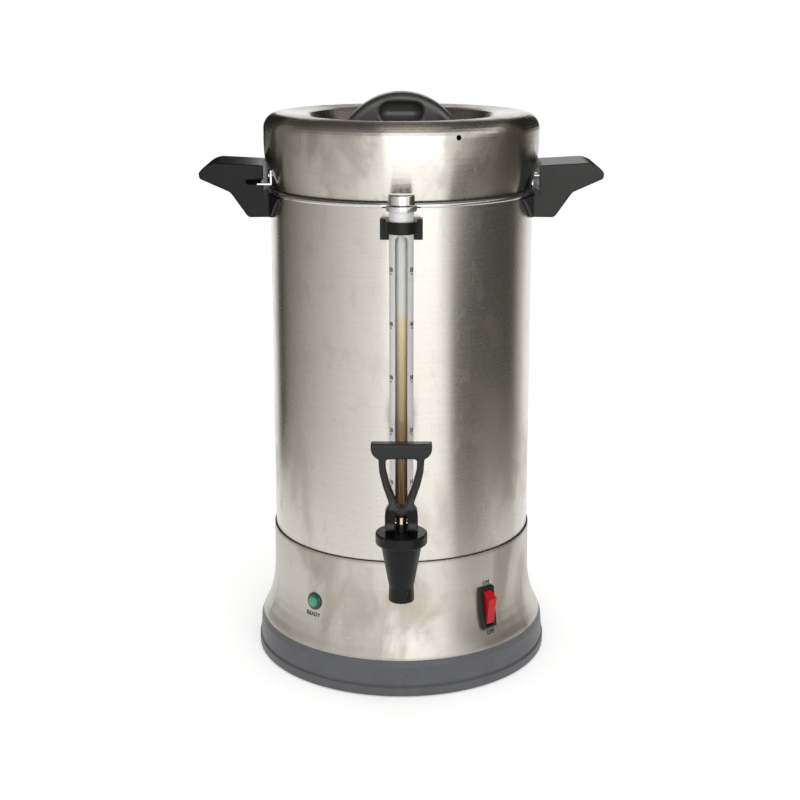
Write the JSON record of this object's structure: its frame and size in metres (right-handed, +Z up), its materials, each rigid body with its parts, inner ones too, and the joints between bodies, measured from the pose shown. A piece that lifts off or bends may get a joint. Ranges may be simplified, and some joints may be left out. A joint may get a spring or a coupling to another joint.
{
  "type": "coffee urn",
  "caption": "Electric percolator coffee urn with a twist-lock lid, sight gauge, cam-lever faucet, pilot lamp and rocker switch.",
  "frame": {"origin": "on the urn's vertical axis, in the plane where the rubber foot ring stands", "axes": "+Z up, -Y towards the faucet side, +X to the right as seen from the faucet side"},
  "size_m": [0.3196, 0.2926, 0.4618],
  "materials": {
    "steel_brushed": "satin",
    "steel_bright": "polished",
    "steel_plain": "satin",
    "aluminium_plain": "satin",
    "plastic_black": "satin",
    "plastic_slate": "satin",
    "rocker_red": "gloss",
    "lamp_green": "gloss",
    "glass_tube": "clear",
    "rubber_black": "matte",
    "silicone_brown": "matte",
    "brass_parts": "satin",
    "ceramic_white": "matte",
    "wire_sheath": "matte"
  },
  "bodies": {
    "urn": {"tank_wall": "steel_brushed", "tank_floor": "steel_plain", "base_skirt": "steel_brushed", "base_ring": "plastic_slate", "bottom_plate": "steel_plain", "bottom_screws": "steel_bright", "feet": "rubber_black", "base_studs": "steel_bright", "stud_nuts": "steel_bright", "heater_element": "steel_bright", "heater_plate": "aluminium_plain", "heater_clamp": "steel_plain", "thermostat": "brass_parts", "thermal_fuse": "ceramic_white", "wiring": "wire_sheath", "inlet_housing": "plastic_black", "inlet_pins": "steel_bright", "inlet_screws": "steel_bright", "switch_housing": "plastic_black", "switch_terminals": "brass_parts", "lamp_lens": "lamp_green", "lamp_body": "plastic_black", "lamp_nut": "plastic_black", "gauge_base": "plastic_black", "shank_nut": "steel_bright", "shank_washers": "silicone_brown", "faucet_body": "plastic_black", "faucet_bonnet": "plastic_black", "gauge_glass": "glass_tube", "gauge_shield": "steel_bright", "gauge_seal_lower": "rubber_black", "gauge_seal_upper": "rubber_black", "gauge_bracket": "plastic_black", "bracket_screws": "steel_bright", "handle_left": "plastic_black", "handle_right": "plastic_black", "handle_screws": "steel_bright", "handle_seals": "rubber_black"},
    "lid_screw": {"knob_screw": "steel_bright", "knob_washer": "steel_bright"},
    "lid": {"lid_shell": "steel_brushed", "lid_knob": "plastic_black", "lock_tabs": "steel_bright", "tab_rivets": "steel_bright"},
    "percolator": {"pump_tube": "steel_plain", "pump_foot": "steel_plain", "pump_valve": "steel_bright", "basket": "steel_plain", "basket_spreader": "steel_plain"},
    "stem": {"faucet_stem": "steel_bright", "seat_cup": "silicone_brown", "stem_spring": "steel_bright", "lever_pin": "steel_bright"},
    "lever_body": {"lever": "plastic_black"},
    "rocker": {"switch_rocker": "rocker_red"},
    "cap": {"gauge_cap": "steel_bright"}
  },
  "joints": [
    {"name": "lid_lift", "type": "slide", "parent": "urn", "child": "lid_screw", "axis": [0, 0, 1], "range_m": [0, 0.16]},
    {"name": "lid_turn", "type": "hinge", "parent": "lid_screw", "child": "lid", "pos_m": [0, 0, 0.4263], "axis": [0, 0, -1], "range_deg": [0, 14]},
    {"name": "percolator_lift", "type": "slide", "parent": "urn", "child": "percolator", "axis": [0, 0, 1], "range_m": [0, 0.08]},
    {"name": "stem_lift", "type": "slide", "parent": "urn", "child": "stem", "axis": [0, 0, 1], "range_m": [0, 0.004], "deforming": ["stem_spring"]},
    {"name": "lever_pull", "type": "hinge", "parent": "stem", "child": "lever_body", "pos_m": [0, -0.153, 0.156], "axis": [1, 0, 0], "range_deg": [0, 50], "stiffness_Nm_per_rad": 0.15, "springref_deg": -20.05},
    {"name": "switch_rock", "type": "hinge", "parent": "urn", "child": "rocker", "pos_m": [0.06627, -0.08183, 0.05983], "axis": [-0.7771, -0.6293, 0], "range_deg": [0, 30]},
    {"name": "gauge_cap_lift", "type": "slide", "parent": "urn", "child": "cap", "axis": [0, 0, 1], "range_m": [0, 0.03]}
  ],
  "couplings": [
    {"joint": "percolator_lift", "follows": "lid_lift", "ratio": 0.5},
    {"joint": "stem_lift", "follows": "lever_pull", "m_per_rad": 0.0044977}
  ]
}
